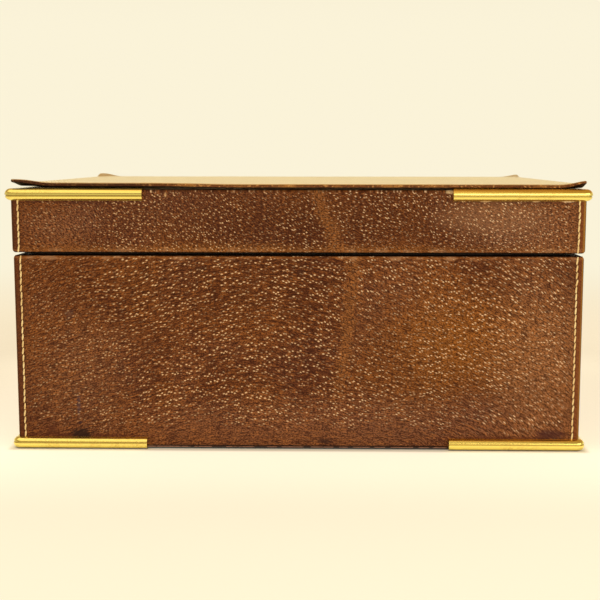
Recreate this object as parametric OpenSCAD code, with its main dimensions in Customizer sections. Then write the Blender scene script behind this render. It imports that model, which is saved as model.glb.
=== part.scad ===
// Cigar humidor: a wooden case covered in pigskin and lined with cedar, with a
// hinged lid, brass corner mouldings, a lift-out tray and a humidifier under the lid.
// The front faces -Y. The origin is on the table, under the middle of the case.

/* [Case] */
// Width of the body over its leather
case_w = 300; // [270:1:340]
// Depth of the body over its leather
case_d = 230; // [200:1:260]
// Height of the body's rim above the table
rim_z = 104; // [98:1:120]
// Height of the lid's leather sides
lid_h = 33; // [32:0.5:42]
// Gap between the lid's leather edge and the body's
lid_gap = 1.4; // [0.9:0.05:1.6]
// How far the lid stands out past the body on each side
lid_proud = 0.4; // [0:0.1:0.6]

/* [Boards] */
// Thickness of the body's side boards
board_t = 7.6; // [7:0.2:9]
// Thickness of the body's bottom board
bottom_board_t = 7; // [5:0.5:9]
// Thickness of the lid's top board
top_board_t = 6; // [5:0.5:7]

/* [Leather] */
// Thickness of the pigskin on the sides
leather_t = 1.4; // [1:0.1:1.6]
// Radius of the pigskin where it turns in over a rim
edge_r = 1.8; // [1.6:0.1:2.2]
// How far the lid's leather is turned in over the top board
turn_in = 10; // [9:0.5:12]
// Thickness of the leather under the base
base_t = 0.8; // [0.6:0.1:1.2]

/* [Top sheet] */
// Thickness of the loose-edged sheet on top of the lid
sheet_t = 2.1; // [1.6:0.1:2.6]
// How far the sheet reaches past the lid's sides
sheet_over = 0.1; // [0:0.1:0.8]
// Radius of the sheet's corners
sheet_corner_r = 3; // [2:0.5:5]
// How far the front left corner has curled up
curl_front_left = 2.8; // [0.5:0.1:4]
// How far the front right corner has curled up
curl_front_right = 2.9; // [0.5:0.1:4]
// How far the back right corner has curled up
curl_back_right = 2.6; // [0.5:0.1:4]
// How far the back left corner has curled up
curl_back_left = 2.7; // [0.5:0.1:4]

/* [Brass mouldings] */
// Length of a moulding's arm along the leather, from the corner
arm_l = 69.4; // [50:0.2:90]
// Height of the moulding
trim_h = 6.2; // [5.6:0.1:7.4]
// How far the moulding stands out from the leather
nose_out = 3.2; // [2.6:0.1:3.6]
// Distance from the moulding's free edge to the middle of its groove
groove_place = 2.5; // [2.2:0.1:3]
// Radius of the groove
groove_r = 0.45; // [0.3:0.05:0.6]
// Thickness of the flange hidden under the base or the top sheet
flange_t = 0.6; // [0.5:0.1:0.9]
// Width of the flange over the leather
flange_w = 8; // [7:0.5:8.5]

/* [Cedar lining] */
// Thickness of the cedar lining
liner_t = 3; // [2.5:0.1:3.6]
// Height of the lining's lip above the body's rim
lip_h = 5; // [4:0.5:7]
// Clearance between the lip and the lid's boards
lip_gap = 0.3; // [0.2:0.05:0.5]

/* [Hinges] */
// Place of a hinge's middle, as a share of the way from the case's middle to its side
hinge_place = 0.59; // [0.45:0.01:0.7]
// Length of a hinge
hinge_l = 50; // [44:1:60]
// Radius of the hinge's knuckles
knuckle_r = 2.1; // [2:0.05:2.3]
// Radius of the hinge pin
pin_r = 1; // [0.8:0.05:1.2]
// Thickness of a hinge leaf
leaf_t = 1.65; // [1.5:0.05:1.8]
// Distance from the body's back face to the hinge's axis
hinge_inset = 1.6; // [1.4:0.05:1.8]
// Angle at which the leaves' stops meet
stop_angle = 95; // [92:1:100]

/* [Tray] */
// Height of the lift-out tray
tray_h = 34; // [28:1:40]
// Distance from the body's rim down to the tray's top
tray_drop = 8; // [6:1:14]
// Thickness of the tray's walls
tray_wall_t = 4; // [3.5:0.1:5]
// Thickness of the tray's floor
tray_floor_t = 3; // [2.5:0.1:4]
// Clearance round the tray
tray_gap = 0.5; // [0.3:0.1:1]
// Radius of the finger scoops in the tray's ends
scoop_r = 14; // [12:1:18]
// Thickness of the tray's divider
divider_t = 3; // [2.5:0.1:4]

/* [Humidifier] */
// Length of the humidifier's case
humid_l = 120; // [110:1:140]
// Width of the humidifier's case
humid_w = 50; // [44:1:60]
// Depth of the humidifier's case
humid_h = 12; // [11:0.5:13]
// Thickness of its brass sheet
humid_t = 0.8; // [0.6:0.1:1]
// Distance from one vent to the next
vent_pitch = 9; // [8.4:0.2:10]
// Width of a vent
vent_w = 3.6; // [2.6:0.2:3.8]

/* [Hidden] */
$fn = 64;

// Sides are counted anticlockwise from the front, seen from above.
FRONT = 0;
RIGHT = 1;
BACK = 2;
LEFT = 3;

// Amount by which a cutting shape runs past what it cuts
cut = 1;
// Gap between the top sheet and the flanges under its edges
sheet_gap = 0.3;

// Levels of the body, from the table up
base_z = flange_t;
boards_z = base_z + base_t;
floor_z = boards_z + bottom_board_t;
lining_z = floor_z + liner_t;
lip_z = rim_z + lip_h;

// The leather is bent tightly round the boards' upright corners
corner_r = leather_t;

// Plan of the body
wall_t = leather_t + board_t;
boards_w = case_w - 2 * leather_t;
boards_d = case_d - 2 * leather_t;
lining_w = case_w - 2 * wall_t;
lining_d = case_d - 2 * wall_t;
room_w = lining_w - 2 * liner_t;
room_d = lining_d - 2 * liner_t;

// Levels of the lid
lid_z = rim_z + lid_gap;
lid_top_z = lid_z + lid_h;
top_board_z = lid_top_z - leather_t - top_board_t;
ceiling_z = top_board_z - liner_t;
flange_z = lid_top_z + flange_t;
sheet_z = flange_z + sheet_gap;

// Plan of the lid
lid_w = case_w + 2 * lid_proud;
lid_d = case_d + 2 * lid_proud;
lid_boards_w = lid_w - 2 * leather_t;
lid_boards_d = lid_d - 2 * leather_t;
lid_lining_w = lining_w + 2 * lip_gap;
lid_lining_d = lining_d + 2 * lip_gap;
lid_wall_t = (lid_w - lid_lining_w) / 2;
field_inset = turn_in + 1;

// Hinges: the axis lies halfway between the two leather edges
hinge_x = hinge_place * case_w / 2;
axis_y = case_d / 2 - hinge_inset;
axis_z = rim_z + lid_gap / 2;
leaf_gap = lid_gap - 0.1;
leaf_w = axis_y - lid_lining_d / 2 - 0.2;
knuckle_gap = 0.2;
knuckle_clear = 0.25;
knuckle_count = 5;
lug_l = 6;
knuckle_zone = hinge_l - 2 * lug_l;
knuckle_pitch = knuckle_zone / knuckle_count;
stop_gap = 0.05;
bevel_gap = 0.5;
lug_out = hinge_inset - 0.1;
screw_r = 0.9;
screw_head_r = 1.7;
screw_head_h = 0.8;
screw_l = 10;
leaf_screw_count = 3;
leaf_screw_pitch = hinge_l / 3;
leaf_screw_y = -(leaf_w + knuckle_r + knuckle_clear) / 2;

// Screws of the mouldings
trim_screw_r = 0.7;
trim_screw_head_r = 1.3;
trim_screw_l = 6;
trim_screw_places = [0.35, 0.8];

// Tray
tray_top_z = rim_z - tray_drop;
tray_z = tray_top_z - tray_h;
tray_w = room_w - 2 * tray_gap;
tray_d = room_d - 2 * tray_gap;
finger_count = 5;
finger_h = tray_h / finger_count;
rest_w = 8;
rest_h = 10;
rest_end_gap = 12;
groove_in = 1.2;
groove_play = 0.15;
groove_places = [-tray_w / 6, 0, tray_w / 6];
divider_drop = 8;
slot_rows = 5;
slot_w = 5;
slot_end_gap = 16;

// Humidifier
humid_z = ceiling_z - humid_h;
grille_t = humid_t;
shutter_gap = 0.2;
shutter_z = humid_z + grille_t;
shutter_t = humid_t;
shutter_w = humid_w - 2 * humid_t - 2 * shutter_gap;
shutter_travel = vent_pitch / 2;
shutter_l = humid_l - 2 * humid_t - shutter_travel - 2 * shutter_gap;
runner_z = shutter_z + shutter_t + shutter_gap;
runner_w = 1.5;
sponge_z = runner_z + humid_t;
vents_each_side = 5;
first_vent_x = 14;
vent_end_gap = 8;
vent_l = humid_w - 2 * vent_end_gap;
knob_r = 1.7;
knob_drop = 3;
ear_l = 9;
ear_screw_r = 1;
ear_screw_head_r = 1.9;
ear_screw_head_h = 1;
ear_screw_l = 5;

// Grid of the top sheet: shares of half its width and half its depth, closer at the corners
sheet_w = lid_w + 2 * sheet_over;
sheet_d = lid_d + 2 * sheet_over;
// How far each curl reaches along the sheet's edges, and how far it has levelled out
// at its tip: 1 is level again, 0.75 is still rising
reach_front_left = 23;
reach_front_right = 14.5;
reach_back_right = 14;
reach_back_left = 16;
settle_left = 1.15;
settle_right = 0.8;
edge_steps = [0, 0.35, 1, 1.9, 3, 5, 8, 11, 15, 20, 27];

// Length of a side of a w by d rectangle
function side_length(side, w, d) = side % 2 == 0 ? w : d;

// Puts the front side of a w by d rectangle on one of its sides
module on_side(side, w, d) {
    rotate([0, 0, 90 * side])
        translate([0, -side_length(side + 1, w, d) / 2, 0])
            children();
}

// A wall of a w by d frame, mitred at both ends. Its profile is drawn with x
// going inwards from the outer face and y going up.
module mitred_wall(side, w, d, thickness) {
    length = side_length(side, w, d);
    on_side(side, w, d)
        intersection() {
            rotate([90, 0, 90])
                linear_extrude(length, center = true)
                    children();
            linear_extrude(sheet_z)
                polygon([
                    [-length / 2, 0],
                    [length / 2, 0],
                    [length / 2 - thickness, thickness],
                    [thickness - length / 2, thickness]
                ]);
        }
}

// Outline of one side's leather in a w by d case: as deep as its turned-in edge,
// mitred at both ends, with its share of the two rounded corners
module leather_plan(side, w, d, depth) {
    length = side_length(side, w, d);
    intersection() {
        rounded_plan(w, d, corner_r);
        on_side(side, w, d)
            polygon([
                [-length / 2, 0],
                [length / 2, 0],
                [length / 2 - depth, depth],
                [depth - length / 2, depth]
            ]);
    }
}

// What comes off a square edge to round it. It has x going inwards from the outer
// face and y going up from the edge.
module edge_waste() {
    difference() {
        translate([-cut, -edge_r])
            square([edge_r + cut, edge_r + cut]);
        translate([edge_r, -edge_r])
            circle(edge_r);
    }
}

// Rounds the outer edge of one side of a w by d case, round both of its corners
module edge_cut(side, w, d) {
    length = side_length(side, w, d);
    on_side(side, w, d) {
        rotate([90, 0, 90])
            linear_extrude(length + 2 * cut, center = true)
                edge_waste();
        for (end = [0, 1])
            mirror([end, 0, 0])
                translate([length / 2 - corner_r, corner_r, 0])
                    rotate([0, 0, -90])
                        rotate_extrude(angle = 90)
                            intersection() {
                                translate([corner_r, 0])
                                    mirror([1, 0])
                                        edge_waste();
                                translate([0, -2 * edge_r])
                                    square([corner_r + 2 * cut, 4 * edge_r]);
                            }
    }
}

// A block w by d by h, centred on the case, with its underside at height z
module block(w, d, z, h) {
    translate([-w / 2, -d / 2, z])
        cube([w, d, h]);
}

// Countersunk wood screw, head up at z = 0
module wood_screw(r, head_r, head_h, length) {
    tip_h = 2 * r;
    difference() {
        union() {
            translate([0, 0, -head_h])
                cylinder(h = head_h, r1 = r, r2 = head_r);
            translate([0, 0, tip_h - length])
                cylinder(h = length - tip_h - head_h, r = r);
            translate([0, 0, -length])
                cylinder(h = tip_h, r1 = 0.2, r2 = r);
        }
        translate([-head_r, -0.2, -head_h / 3])
            cube([2 * head_r, 0.4, head_h]);
    }
}

// The room that a wood screw takes
module screw_room(r, head_r, head_h, length) {
    translate([0, 0, -head_h])
        cylinder(h = head_h, r1 = r, r2 = head_r);
    translate([0, 0, -length])
        cylinder(h = length, r = r);
    cylinder(h = cut, r = head_r);
}

// Body boards

module body_board(side) {
    color("burlywood")
        difference() {
            mitred_wall(side, boards_w, boards_d, board_t)
                translate([0, boards_z])
                    square([board_t, rim_z - leather_t - boards_z]);
            if (side == BACK) {
                hinge_mortises(0);
                leaf_screws(0, true);
            }
            at_base_screws() trim_screw_room();
        }
}

module body_bottom_board() {
    color("burlywood")
        block(lining_w, lining_d, boards_z, bottom_board_t);
}

// The leather of one side: up the outside, over the rim and in as far as the lining
module body_leather(side) {
    color("saddlebrown")
        difference() {
            translate([0, 0, boards_z])
                linear_extrude(rim_z - boards_z)
                    leather_plan(side, case_w, case_d, wall_t);
            block(boards_w, boards_d, base_z, rim_z - leather_t - base_z);
            translate([0, 0, rim_z])
                edge_cut(side, case_w, case_d);
            if (side != FRONT)
                back_bevel(0);
            if (side == BACK)
                hinge_mortises(0);
        }
}

module base_leather() {
    color("rosybrown")
        difference() {
            translate([0, 0, base_z])
                linear_extrude(base_t)
                    rounded_plan(case_w, case_d, corner_r);
            at_base_screws() trim_screw_room();
        }
}

module rounded_plan(w, d, r) {
    square([w - 2 * r, d], center = true);
    square([w, d - 2 * r], center = true);
    for (x = [-1, 1], y = [-1, 1])
        translate([x * (w / 2 - r), y * (d / 2 - r)])
            circle(r);
}

// Brass corner mouldings

// Section of the moulding: a half round nose with a groove run along it. It has x
// going out from the leather and y going up to the flange.
module nose_profile() {
    nose_r = trim_h / 2;
    nose_x = nose_out - nose_r;
    groove_x = nose_x + sqrt(nose_r ^ 2 - (nose_r - groove_place) ^ 2);
    difference() {
        intersection() {
            union() {
                translate([nose_x, nose_r])
                    circle(nose_r);
                square([max(nose_x, groove_r), trim_h]);
            }
            square([nose_out + cut, trim_h]);
        }
        translate([groove_x, groove_place])
            circle(groove_r);
    }
}

// A moulding round the front left corner of a w by d case, flange up at z = 0
module corner_moulding(w, d) {
    color("goldenrod")
        translate([-w / 2, -d / 2, -trim_h]) {
            translate([corner_r, corner_r, 0])
                rotate([0, 0, 180])
                    rotate_extrude(angle = 90)
                        translate([corner_r, 0])
                            nose_profile();
            translate([corner_r, 0, 0])
                rotate([90, 0, 90])
                    linear_extrude(arm_l - corner_r)
                        mirror([1, 0])
                            nose_profile();
            translate([0, corner_r, 0])
                mirror([1, -1, 0])
                    rotate([90, 0, 90])
                        linear_extrude(arm_l - corner_r)
                            mirror([1, 0])
                                nose_profile();
            translate([0, 0, trim_h - flange_t])
                linear_extrude(flange_t)
                    union() {
                        translate([corner_r, 0])
                            square([arm_l - corner_r, flange_w]);
                        translate([0, corner_r])
                            square([flange_w, arm_l - corner_r]);
                        translate([corner_r, corner_r])
                            circle(corner_r);
                    }
        }
}

// Places a front left moulding on any corner, counted anticlockwise from the front left
module on_corner(corner) {
    mirror([corner == 1 || corner == 2 ? 1 : 0, 0, 0])
        mirror([0, corner == 2 || corner == 3 ? 1 : 0, 0])
            children();
}

// The places of one moulding's screws on its flange, for a w by d case
module at_trim_screws(w, d) {
    for (share = trim_screw_places) {
        translate([-w / 2 + share * arm_l, -d / 2 + flange_w * 0.6, 0])
            children();
        translate([-w / 2 + flange_w * 0.6, -d / 2 + share * arm_l, 0])
            children();
    }
}

module trim_screw_room() {
    screw_room(trim_screw_r, trim_screw_head_r, flange_t, trim_screw_l);
}

module at_base_screws() {
    for (corner = [0:3])
        on_corner(corner)
            at_trim_screws(case_w, case_d)
                mirror([0, 0, 1])
                    children();
}

module at_lid_screws() {
    for (corner = [0:3])
        on_corner(corner)
            translate([0, 0, flange_z])
                at_trim_screws(lid_w, lid_d)
                    children();
}

module base_trim(corner) {
    difference() {
        on_corner(corner)
            mirror([0, 0, 1])
                corner_moulding(case_w, case_d);
        at_base_screws() trim_screw_room();
    }
}

module lid_trim(corner) {
    difference() {
        on_corner(corner)
            translate([0, 0, flange_z])
                corner_moulding(lid_w, lid_d);
        at_lid_screws() trim_screw_room();
    }
}

module base_trim_screws() {
    color("darkgoldenrod")
        at_base_screws()
            wood_screw(trim_screw_r, trim_screw_head_r, flange_t, trim_screw_l);
}

module lid_trim_screws() {
    color("darkgoldenrod")
        at_lid_screws()
            wood_screw(trim_screw_r, trim_screw_head_r, flange_t, trim_screw_l);
}

// Cedar lining of the body

// The lining stands above the rim as a lip, with its outer edge eased
module liner(side) {
    ease = liner_t / 4;
    color("peru")
        mitred_wall(side, lining_w, lining_d, liner_t)
            polygon([
                [0, lining_z],
                [liner_t, lining_z],
                [liner_t, lip_z],
                [ease, lip_z],
                [0, lip_z - 2 * ease]
            ]);
}

module liner_floor() {
    color("peru")
        block(lining_w, lining_d, floor_z, liner_t);
}

module tray_rests() {
    color("peru")
        for (x = [0, 1])
            mirror([x, 0, 0])
                translate([-room_w / 2, rest_end_gap - room_d / 2, tray_z - rest_h])
                    cube([rest_w, room_d - 2 * rest_end_gap, rest_h]);
}

// Hinges

// Runs once at each hinge, with the axis along x through the origin
module at_hinges() {
    for (x = [-hinge_x, hinge_x])
        at_hinge(x)
            children();
}

module at_hinge(x) {
    translate([x, axis_y, axis_z])
        children();
}

// Turns what is drawn for the body's half into the lid's half
module hinge_half(half) {
    mirror([0, 0, half])
        children();
}

// The bevel along the back edges, which gives the lid room to swing past upright
module back_bevel(half) {
    slope = tan(stop_angle / 2);
    drop = bevel_gap / 2 / cos(stop_angle / 2);
    reach = hinge_inset + lid_proud + cut;
    at_hinge(0)
        hinge_half(half)
            rotate([90, 0, 90])
                linear_extrude(lid_w + 2 * cut, center = true)
                    polygon([
                        [0, -drop],
                        [reach, -drop - reach * slope],
                        [reach, lid_gap],
                        [0, lid_gap]
                    ]);
}

// The room for both hinges in a back edge
module hinge_mortises(half) {
    at_hinges()
        hinge_half(half) {
            translate([-hinge_l / 2, -leaf_w, -leaf_gap / 2 - leaf_t])
                cube([hinge_l, leaf_w + hinge_inset + lid_proud + cut, leaf_gap / 2 + leaf_t + cut]);
            rotate([0, 90, 0])
                cylinder(h = knuckle_zone, r = knuckle_r + knuckle_clear, center = true);
        }
}

// The screws of one half of both hinges, or the room that they take
module leaf_screws(half, room) {
    at_hinges()
        hinge_half(half)
            for (i = [0:leaf_screw_count - 1])
                translate([
                    (i - (leaf_screw_count - 1) / 2) * leaf_screw_pitch,
                    leaf_screw_y,
                    -leaf_gap / 2
                ]) {
                    if (room)
                        screw_room(screw_r, screw_head_r, screw_head_h, screw_l);
                    else
                        wood_screw(screw_r, screw_head_r, screw_head_h, screw_l);
                }
}

// A leaf with its own knuckles and a stop lug at each end. The body's leaf has the
// odd knuckles, and the lid's leaf has the even ones.
module hinge_leaf(x, half) {
    slope = tan(stop_angle / 2);
    drop = stop_gap / 2 / cos(stop_angle / 2);
    under = leaf_gap / 2 + leaf_t;
    color("goldenrod")
        difference() {
            at_hinge(x)
                hinge_half(half)
                    difference() {
                        union() {
                            rotate([90, 0, 90])
                                linear_extrude(hinge_l, center = true)
                                    polygon([
                                        [-leaf_w, -under],
                                        [-leaf_w, -leaf_gap / 2],
                                        [(leaf_gap / 2 - drop) / slope, -leaf_gap / 2],
                                        [lug_out, -drop - lug_out * slope],
                                        [lug_out, -under]
                                    ]);
                        }
                        translate([-knuckle_zone / 2, -knuckle_r - knuckle_clear, -under - cut])
                            cube([knuckle_zone, leaf_w, under + 2 * cut]);
                    }
            leaf_screws(half, true);
        }
    color("goldenrod")
        at_hinge(x)
            hinge_half(half)
                for (k = [half:2:knuckle_count - 1])
                    translate([(k - (knuckle_count - 1) / 2) * knuckle_pitch, 0, 0])
                        knuckle(knuckle_pitch - knuckle_gap, half == 0 ? pin_r : pin_r + stop_gap);
}

// A knuckle and the web that joins it to its leaf
module knuckle(length, bore_r) {
    under = leaf_gap / 2 + leaf_t;
    difference() {
        union() {
            rotate([0, 90, 0])
                cylinder(h = length, r = knuckle_r, center = true);
            translate([-length / 2, -knuckle_r - knuckle_clear, -under])
                cube([length, knuckle_r + knuckle_clear, leaf_t]);
        }
        rotate([0, 90, 0])
            cylinder(h = length + cut, r = bore_r, center = true);
    }
}

module hinge_pins() {
    color("darkgoldenrod")
        at_hinges()
            rotate([0, 90, 0])
                cylinder(h = knuckle_zone - knuckle_gap, r = pin_r, center = true);
}

module hinge_screws(half) {
    color("darkgoldenrod")
        leaf_screws(half, false);
}

// Lid

module lid_board(side) {
    thickness = lid_wall_t - leather_t;
    color("burlywood")
        difference() {
            mitred_wall(side, lid_boards_w, lid_boards_d, thickness)
                translate([0, lid_z + leather_t])
                    square([thickness, top_board_z - lid_z - leather_t]);
            if (side == BACK) {
                hinge_mortises(1);
                leaf_screws(1, true);
            }
        }
}

// The top board has a raised field that carries the top sheet. The turned-in leather
// and the mouldings' flanges lie in the rebate round it.
module lid_top_board() {
    color("burlywood")
        difference() {
            union() {
                block(lid_boards_w, lid_boards_d, top_board_z, top_board_t);
                block(
                    lid_w - 2 * field_inset,
                    lid_d - 2 * field_inset,
                    top_board_z,
                    sheet_z - top_board_z
                );
            }
            at_lid_screws() trim_screw_room();
            at_ear_screws() screw_room(ear_screw_r, ear_screw_r, cut, ear_screw_l);
        }
}

// The leather of one side: turned in under the lid's rim and over its top
module lid_leather(side) {
    color("saddlebrown")
        difference() {
            translate([0, 0, lid_z])
                linear_extrude(lid_h)
                    leather_plan(side, lid_w, lid_d, turn_in);
            block(lid_boards_w, lid_boards_d, lid_z + leather_t, lid_h - 2 * leather_t);
            block(lid_lining_w, lid_lining_d, lid_z - cut, lid_h / 2);
            translate([0, 0, lid_top_z])
                edge_cut(side, lid_w, lid_d);
            translate([0, 0, lid_z])
                mirror([0, 0, 1])
                    edge_cut(side, lid_w, lid_d);
            if (side != FRONT)
                back_bevel(1);
            if (side == BACK)
                hinge_mortises(1);
            at_lid_screws() trim_screw_room();
        }
}

module lid_liner(side) {
    color("peru")
        mitred_wall(side, lid_lining_w, lid_lining_d, liner_t)
            translate([0, lip_z])
                square([liner_t, ceiling_z - lip_z]);
}

module lid_ceiling() {
    color("peru")
        difference() {
            block(lid_lining_w, lid_lining_d, ceiling_z, liner_t);
            at_ear_screws() screw_room(ear_screw_r, ear_screw_r, cut, ear_screw_l);
        }
}

// Top sheet

// Rises smoothly from 0 to 1 as t goes from 0 to 1
function smooth(t) = let (s = min(max(t, 0), 1)) s * s * (3 - 2 * s);

// Curl of one corner, at a point dx and dy from the two edges that meet there
function curl(dx, dy, lift, reach, settle) =
    lift * smooth(settle * (1 - (dx + dy) / reach)) / smooth(settle);

// Height of the sheet above its flat part
function sheet_lift(x, y) =
    let (left = sheet_w / 2 + x, right = sheet_w / 2 - x)
    let (front = sheet_d / 2 + y, back = sheet_d / 2 - y)
    curl(left, front, curl_front_left, reach_front_left, settle_left)
    + curl(right, front, curl_front_right, reach_front_right, settle_right)
    + curl(right, back, curl_back_right, reach_back_right, settle_right)
    + curl(left, back, curl_back_left, reach_back_left, settle_left);

// Grid lines across a sheet of that size: close to both edges, then one in the middle
function grid_lines(size) = [
    for (s = edge_steps) s - size / 2,
    0,
    for (i = [len(edge_steps) - 1:-1:0]) size / 2 - edge_steps[i]
];

// How much a corner's radius draws in the edge, at a distance from the next edge
function draw_in(distance) =
    distance >= sheet_corner_r
        ? 0
        : sheet_corner_r - sqrt(sheet_corner_r ^ 2 - (sheet_corner_r - distance) ^ 2);

module top_sheet() {
    xs = grid_lines(sheet_w);
    ys = grid_lines(sheet_d);
    nx = len(xs);
    ny = len(ys);
    points = [
        for (level = [0, sheet_t], y = ys, x = xs)
            let (narrow = 1 - 2 * draw_in(sheet_d / 2 - abs(y)) / sheet_w)
            [x * narrow, y, sheet_z + level + sheet_lift(x * narrow, y)]
    ];
    function at(i, j, level) = level * nx * ny + j * nx + i;
    function quad(a, b, c, d) = [[a, b, c], [a, c, d]];
    faces = [
        for (j = [0:ny - 2], i = [0:nx - 2])
            each concat(
                quad(at(i, j, 0), at(i + 1, j, 0), at(i + 1, j + 1, 0), at(i, j + 1, 0)),
                quad(at(i, j + 1, 1), at(i + 1, j + 1, 1), at(i + 1, j, 1), at(i, j, 1))
            ),
        for (i = [0:nx - 2])
            each concat(
                quad(at(i, 0, 0), at(i, 0, 1), at(i + 1, 0, 1), at(i + 1, 0, 0)),
                quad(at(i + 1, ny - 1, 0), at(i + 1, ny - 1, 1), at(i, ny - 1, 1), at(i, ny - 1, 0))
            ),
        for (j = [0:ny - 2])
            each concat(
                quad(at(0, j + 1, 0), at(0, j + 1, 1), at(0, j, 1), at(0, j, 0)),
                quad(at(nx - 1, j, 0), at(nx - 1, j, 1), at(nx - 1, j + 1, 1), at(nx - 1, j + 1, 0))
            )
    ];
    color("sienna")
        polyhedron(points, faces, convexity = 4);
}

// Humidifier under the lid's ceiling

module humidifier_case() {
    color("goldenrod")
        difference() {
            union() {
                block(humid_l, humid_w, humid_z + grille_t, humid_h - grille_t);
                block(humid_l + 2 * ear_l, humid_w, ceiling_z - humid_t, humid_t);
            }
            difference() {
                block(humid_l - 2 * humid_t, humid_w - 2 * humid_t, humid_z, humid_h - humid_t);
                for (y = [0, 1])
                    mirror([0, y, 0])
                        translate([-humid_l / 2, -humid_w / 2, runner_z])
                            cube([humid_l, humid_t + runner_w, humid_t]);
            }
            at_ear_screws() screw_room(ear_screw_r, ear_screw_r, cut, ear_screw_l);
        }
}

// The vents lie in two groups beside the knob
module vents(z, thickness) {
    for (side = [-1, 1], i = [0:vents_each_side - 1])
        translate([side * (first_vent_x + i * vent_pitch), 0, z - cut])
            linear_extrude(thickness + 2 * cut) {
                square([vent_w, vent_l - vent_w], center = true);
                for (y = [-1, 1])
                    translate([0, y * (vent_l - vent_w) / 2])
                        circle(vent_w / 2);
            }
}

module humidifier_grille() {
    color("goldenrod")
        difference() {
            block(humid_l, humid_w, humid_z, grille_t);
            vents(humid_z, grille_t);
            translate([0, 0, humid_z - cut])
                linear_extrude(grille_t + 2 * cut) {
                    square([shutter_travel, 2 * (knob_r + shutter_gap)], center = true);
                    for (x = [-1, 1])
                        translate([x * shutter_travel / 2, 0])
                            circle(knob_r + shutter_gap);
                }
        }
}

// The shutter lies on the grille. Its vents stand over the grille's until it is slid to close them.
module humidifier_shutter() {
    knob_top = shutter_z + shutter_t;
    color("darkgoldenrod") {
        difference() {
            translate([-shutter_travel / 2, 0, 0])
                block(shutter_l, shutter_w, shutter_z, shutter_t);
            vents(shutter_z, shutter_t);
        }
        translate([-shutter_travel / 2, 0, humid_z - knob_drop])
            cylinder(h = knob_top - humid_z + knob_drop, r = knob_r);
    }
}

module humidifier_sponge() {
    inset = humid_t + shutter_gap;
    color("khaki")
        block(
            humid_l - 2 * inset,
            humid_w - 2 * inset,
            sponge_z,
            ceiling_z - humid_t - shutter_gap - sponge_z
        );
}

// The places of the ear screws, which point up into the ceiling
module at_ear_screws() {
    for (x = [-1, 1], y = [-1, 1])
        translate([
            x * (humid_l + ear_l) / 2,
            y * humid_w / 4,
            ceiling_z - humid_t
        ])
            mirror([0, 0, 1])
                children();
}

module humidifier_screws() {
    color("darkgoldenrod")
        at_ear_screws() {
            translate([0, 0, -ear_screw_l])
                cylinder(h = ear_screw_l, r = ear_screw_r);
            difference() {
                cylinder(h = ear_screw_head_h, r = ear_screw_head_r);
                translate([-ear_screw_head_r, -0.25, ear_screw_head_h / 2])
                    cube([2 * ear_screw_head_r, 0.5, ear_screw_head_h]);
            }
        }
}

// Tray

// A tray wall between two finger joints. The ends keep the odd fingers on the front
// and back walls, and the even fingers on the side walls.
module tray_wall(side) {
    length = side_length(side, tray_w, tray_d);
    first = side % 2;
    color("peru")
        on_side(side, tray_w, tray_d)
            difference() {
                translate([-length / 2, 0, tray_z])
                    cube([length, tray_wall_t, tray_h]);
                for (end = [0, 1], i = [1 - first:2:finger_count - 1])
                    mirror([end, 0, 0])
                        translate([-length / 2 - cut, -cut, tray_z + i * finger_h])
                            cube([tray_wall_t + cut, tray_wall_t + 2 * cut, finger_h]);
                if (side % 2 == 0)
                    for (x = groove_places)
                        translate([
                            x - divider_t / 2 - groove_play,
                            tray_wall_t - groove_in,
                            tray_z + tray_floor_t
                        ])
                            cube([divider_t + 2 * groove_play, groove_in + cut, tray_h]);
                else
                    translate([0, -cut, tray_top_z])
                        rotate([-90, 0, 0])
                            cylinder(h = tray_wall_t + 2 * cut, r = scoop_r);
            }
}

// The floor is cut with rows of slots, so that damp air reaches the tray
module tray_floor() {
    inner_w = tray_w - 2 * tray_wall_t;
    inner_d = tray_d - 2 * tray_wall_t;
    row_pitch = inner_d / slot_rows;
    slot_l = inner_w / 2 - 2 * slot_end_gap;
    color("peru")
        difference() {
            block(inner_w, inner_d, tray_z, tray_floor_t);
            for (row = [0:slot_rows - 1], x = [-1, 1])
                translate([x * inner_w / 4, (row - (slot_rows - 1) / 2) * row_pitch, tray_z - cut])
                    linear_extrude(tray_floor_t + 2 * cut) {
                        square([slot_l - slot_w, slot_w], center = true);
                        for (end = [-1, 1])
                            translate([end * (slot_l - slot_w) / 2, 0])
                                circle(slot_w / 2);
                    }
        }
}

module tray_divider() {
    length = tray_d - 2 * tray_wall_t + 2 * (groove_in - groove_play);
    bottom = tray_z + tray_floor_t;
    color("peru")
        block(divider_t, length, bottom, tray_top_z - divider_drop - bottom);
}

body_board(FRONT);  // body_front_board
body_board(RIGHT);  // body_right_board
body_board(BACK);  // body_back_board
body_board(LEFT);  // body_left_board
body_bottom_board();
body_leather(FRONT);  // body_leather_front
body_leather(RIGHT);  // body_leather_right
body_leather(BACK);  // body_leather_back
body_leather(LEFT);  // body_leather_left
base_leather();
base_trim(0);  // base_trim_front_left
base_trim(1);  // base_trim_front_right
base_trim(2);  // base_trim_back_right
base_trim(3);  // base_trim_back_left
base_trim_screws();
liner(FRONT);  // liner_front
liner(RIGHT);  // liner_right
liner(BACK);  // liner_back
liner(LEFT);  // liner_left
liner_floor();
tray_rests();
hinge_leaf(-hinge_x, 0);  // hinge_left_body_leaf
hinge_leaf(hinge_x, 0);  // hinge_right_body_leaf
hinge_pins();
hinge_screws(0);  // hinge_body_screws
lid_board(FRONT);  // lid_front_board
lid_board(RIGHT);  // lid_right_board
lid_board(BACK);  // lid_back_board
lid_board(LEFT);  // lid_left_board
lid_top_board();
lid_leather(FRONT);  // lid_leather_front
lid_leather(RIGHT);  // lid_leather_right
lid_leather(BACK);  // lid_leather_back
lid_leather(LEFT);  // lid_leather_left
top_sheet();
lid_trim(0);  // lid_trim_front_left
lid_trim(1);  // lid_trim_front_right
lid_trim(2);  // lid_trim_back_right
lid_trim(3);  // lid_trim_back_left
lid_trim_screws();
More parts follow.
